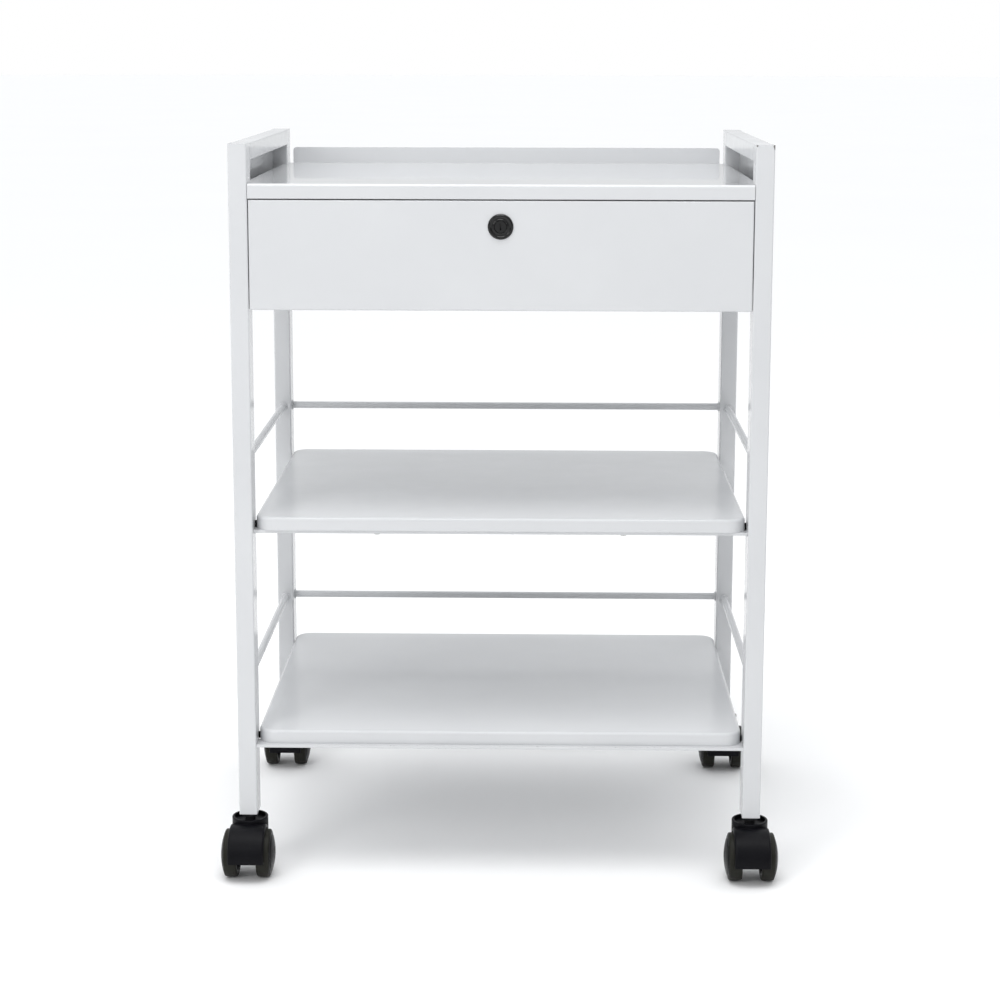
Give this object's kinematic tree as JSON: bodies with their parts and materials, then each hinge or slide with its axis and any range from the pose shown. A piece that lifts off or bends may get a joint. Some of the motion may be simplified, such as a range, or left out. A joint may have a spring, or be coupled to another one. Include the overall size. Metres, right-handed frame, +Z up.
{
  "type": "rolling salon trolley",
  "caption": "White steel salon trolley with a top tray, a locking drawer, open shelves with guard rods and swivel casters.",
  "frame": {"origin": "on the floor, in the middle of the whole footprint with the casters trailing towards the front", "axes": "+X to the right seen from the front, +Y from the drawer front towards the back, +Z up"},
  "size_m": [0.588, 0.439, 0.77],
  "materials": {
    "powder_coat": "gloss powder coat, cool white",
    "slide_coat": "satin epoxy coat on rolled steel",
    "plated_steel": "bright zinc plate",
    "black_steel": "blackened steel, oiled",
    "caster_plastic": "black moulded nylon, lightly textured",
    "caster_tyre": "dark grey-olive tread, satin",
    "lock_black": "black, glossy",
    "roller_plastic": "natural nylon",
    "insert_plastic": "black nylon plug"
  },
  "bodies": {
    "frame": {"back_left_caster_stem": "black_steel", "back_left_post": "powder_coat", "back_panel": "powder_coat", "back_right_caster_stem": "black_steel", "back_right_post": "powder_coat", "front_crossbar": "powder_coat", "front_left_caster_stem": "black_steel", "front_left_post": "powder_coat", "front_right_caster_stem": "black_steel", "front_right_post": "powder_coat", "left_handle_rail": "powder_coat", "left_side_panel": "powder_coat", "left_slide_rail": "slide_coat", "lower_back_bearer": "powder_coat", "lower_back_guard_rod": "powder_coat", "lower_front_bearer": "powder_coat", "lower_left_guard_rod": "powder_coat", "lower_right_guard_rod": "powder_coat", "lower_shelf": "powder_coat", "post_inserts": "insert_plastic", "right_handle_rail": "powder_coat", "right_side_panel": "powder_coat", "right_slide_rail": "slide_coat", "shelf_screws": "plated_steel", "slide_screws": "plated_steel", "top_tray": "powder_coat", "upper_back_bearer": "powder_coat", "upper_back_guard_rod": "powder_coat", "upper_front_bearer": "powder_coat", "upper_left_guard_rod": "powder_coat", "upper_right_guard_rod": "powder_coat", "upper_shelf": "powder_coat"},
    "drawer": {"drawer_front": "powder_coat", "drawer_box": "powder_coat", "left_drawer_runner": "slide_coat", "right_drawer_runner": "slide_coat", "lock_body": "lock_black", "lock_nut": "plated_steel"},
    "lock_barrel": {"lock_plug": "lock_black", "lock_cam": "plated_steel"},
    "front_left_roller": {"front_left_slide_roller": "roller_plastic"},
    "back_left_roller": {"back_left_slide_roller": "roller_plastic"},
    "front_right_roller": {"front_right_slide_roller": "roller_plastic"},
    "back_right_roller": {"back_right_slide_roller": "roller_plastic"},
    "front_left_caster": {"front_left_caster_hood": "caster_plastic", "front_left_caster_axle": "plated_steel"},
    "front_left_left_wheel": {"front_left_caster_left_wheel": "caster_tyre"},
    "front_left_right_wheel": {"front_left_caster_right_wheel": "caster_tyre"},
    "front_right_caster": {"front_right_caster_hood": "caster_plastic", "front_right_caster_axle": "plated_steel"},
    "front_right_left_wheel": {"front_right_caster_left_wheel": "caster_tyre"},
    "front_right_right_wheel": {"front_right_caster_right_wheel": "caster_tyre"},
    "back_left_caster": {"back_left_caster_hood": "caster_plastic", "back_left_caster_axle": "plated_steel"},
    "back_left_left_wheel": {"back_left_caster_left_wheel": "caster_tyre"},
    "back_left_right_wheel": {"back_left_caster_right_wheel": "caster_tyre"},
    "back_right_caster": {"back_right_caster_hood": "caster_plastic", "back_right_caster_axle": "plated_steel"},
    "back_right_left_wheel": {"back_right_caster_left_wheel": "caster_tyre"},
    "back_right_right_wheel": {"back_right_caster_right_wheel": "caster_tyre"}
  },
  "joints": [
    {"name": "drawer_slide", "type": "slide", "parent": "frame", "child": "drawer", "axis": [0, -1, 0], "range_m": [0, 0.27]},
    {"name": "lock_turn", "type": "hinge", "parent": "drawer", "child": "lock_barrel", "pos_m": [0, -0.1845, 0.6875], "axis": [0, -1, 0], "range_deg": [0, 90]},
    {"name": "front_left_roller_turn", "type": "hinge", "parent": "frame", "child": "front_left_roller", "pos_m": [-0.2505, -0.1607, 0.6438], "axis": [1, 0, 0], "range_deg": [0, 2100]},
    {"name": "back_left_roller_turn", "type": "hinge", "parent": "drawer", "child": "back_left_roller", "pos_m": [-0.2505, 0.182, 0.6438], "axis": [1, 0, 0], "range_deg": [0, 2100]},
    {"name": "front_right_roller_turn", "type": "hinge", "parent": "frame", "child": "front_right_roller", "pos_m": [0.2505, -0.1607, 0.6438], "axis": [1, 0, 0], "range_deg": [0, 2100]},
    {"name": "back_right_roller_turn", "type": "hinge", "parent": "drawer", "child": "back_right_roller", "pos_m": [0.2505, 0.182, 0.6438], "axis": [1, 0, 0], "range_deg": [0, 2100]},
    {"name": "front_left_swivel", "type": "hinge", "parent": "frame", "child": "front_left_caster", "pos_m": [-0.2655, -0.1695, 0.05], "axis": [0, 0, 1], "continuous": true},
    {"name": "front_left_left_wheel_turn", "type": "hinge", "parent": "front_left_caster", "child": "front_left_left_wheel", "pos_m": [-0.2655, -0.1895, 0.025], "axis": [1, 0, 0], "continuous": true},
    {"name": "front_left_right_wheel_turn", "type": "hinge", "parent": "front_left_caster", "child": "front_left_right_wheel", "pos_m": [-0.2655, -0.1895, 0.025], "axis": [1, 0, 0], "continuous": true},
    {"name": "front_right_swivel", "type": "hinge", "parent": "frame", "child": "front_right_caster", "pos_m": [0.2655, -0.1695, 0.05], "axis": [0, 0, 1], "continuous": true},
    {"name": "front_right_left_wheel_turn", "type": "hinge", "parent": "front_right_caster", "child": "front_right_left_wheel", "pos_m": [0.2655, -0.1895, 0.025], "axis": [1, 0, 0], "continuous": true},
    {"name": "front_right_right_wheel_turn", "type": "hinge", "parent": "front_right_caster", "child": "front_right_right_wheel", "pos_m": [0.2655, -0.1895, 0.025], "axis": [1, 0, 0], "continuous": true},
    {"name": "back_left_swivel", "type": "hinge", "parent": "frame", "child": "back_left_caster", "pos_m": [-0.2655, 0.2005, 0.05], "axis": [0, 0, 1], "continuous": true},
    {"name": "back_left_left_wheel_turn", "type": "hinge", "parent": "back_left_caster", "child": "back_left_left_wheel", "pos_m": [-0.2655, 0.1805, 0.025], "axis": [1, 0, 0], "continuous": true},
    {"name": "back_left_right_wheel_turn", "type": "hinge", "parent": "back_left_caster", "child": "back_left_right_wheel", "pos_m": [-0.2655, 0.1805, 0.025], "axis": [1, 0, 0], "continuous": true},
    {"name": "back_right_swivel", "type": "hinge", "parent": "frame", "child": "back_right_caster", "pos_m": [0.2655, 0.2005, 0.05], "axis": [0, 0, 1], "continuous": true},
    {"name": "back_right_left_wheel_turn", "type": "hinge", "parent": "back_right_caster", "child": "back_right_left_wheel", "pos_m": [0.2655, 0.1805, 0.025], "axis": [1, 0, 0], "continuous": true},
    {"name": "back_right_right_wheel_turn", "type": "hinge", "parent": "back_right_caster", "child": "back_right_right_wheel", "pos_m": [0.2655, 0.1805, 0.025], "axis": [1, 0, 0], "continuous": true}
  ],
  "couplings": [
    {"joint": "front_left_roller_turn", "follows": "drawer_slide", "rad_per_m": 133.33},
    {"joint": "back_left_roller_turn", "follows": "drawer_slide", "rad_per_m": 133.33},
    {"joint": "front_right_roller_turn", "follows": "drawer_slide", "rad_per_m": 133.33},
    {"joint": "back_right_roller_turn", "follows": "drawer_slide", "rad_per_m": 133.33}
  ]
}
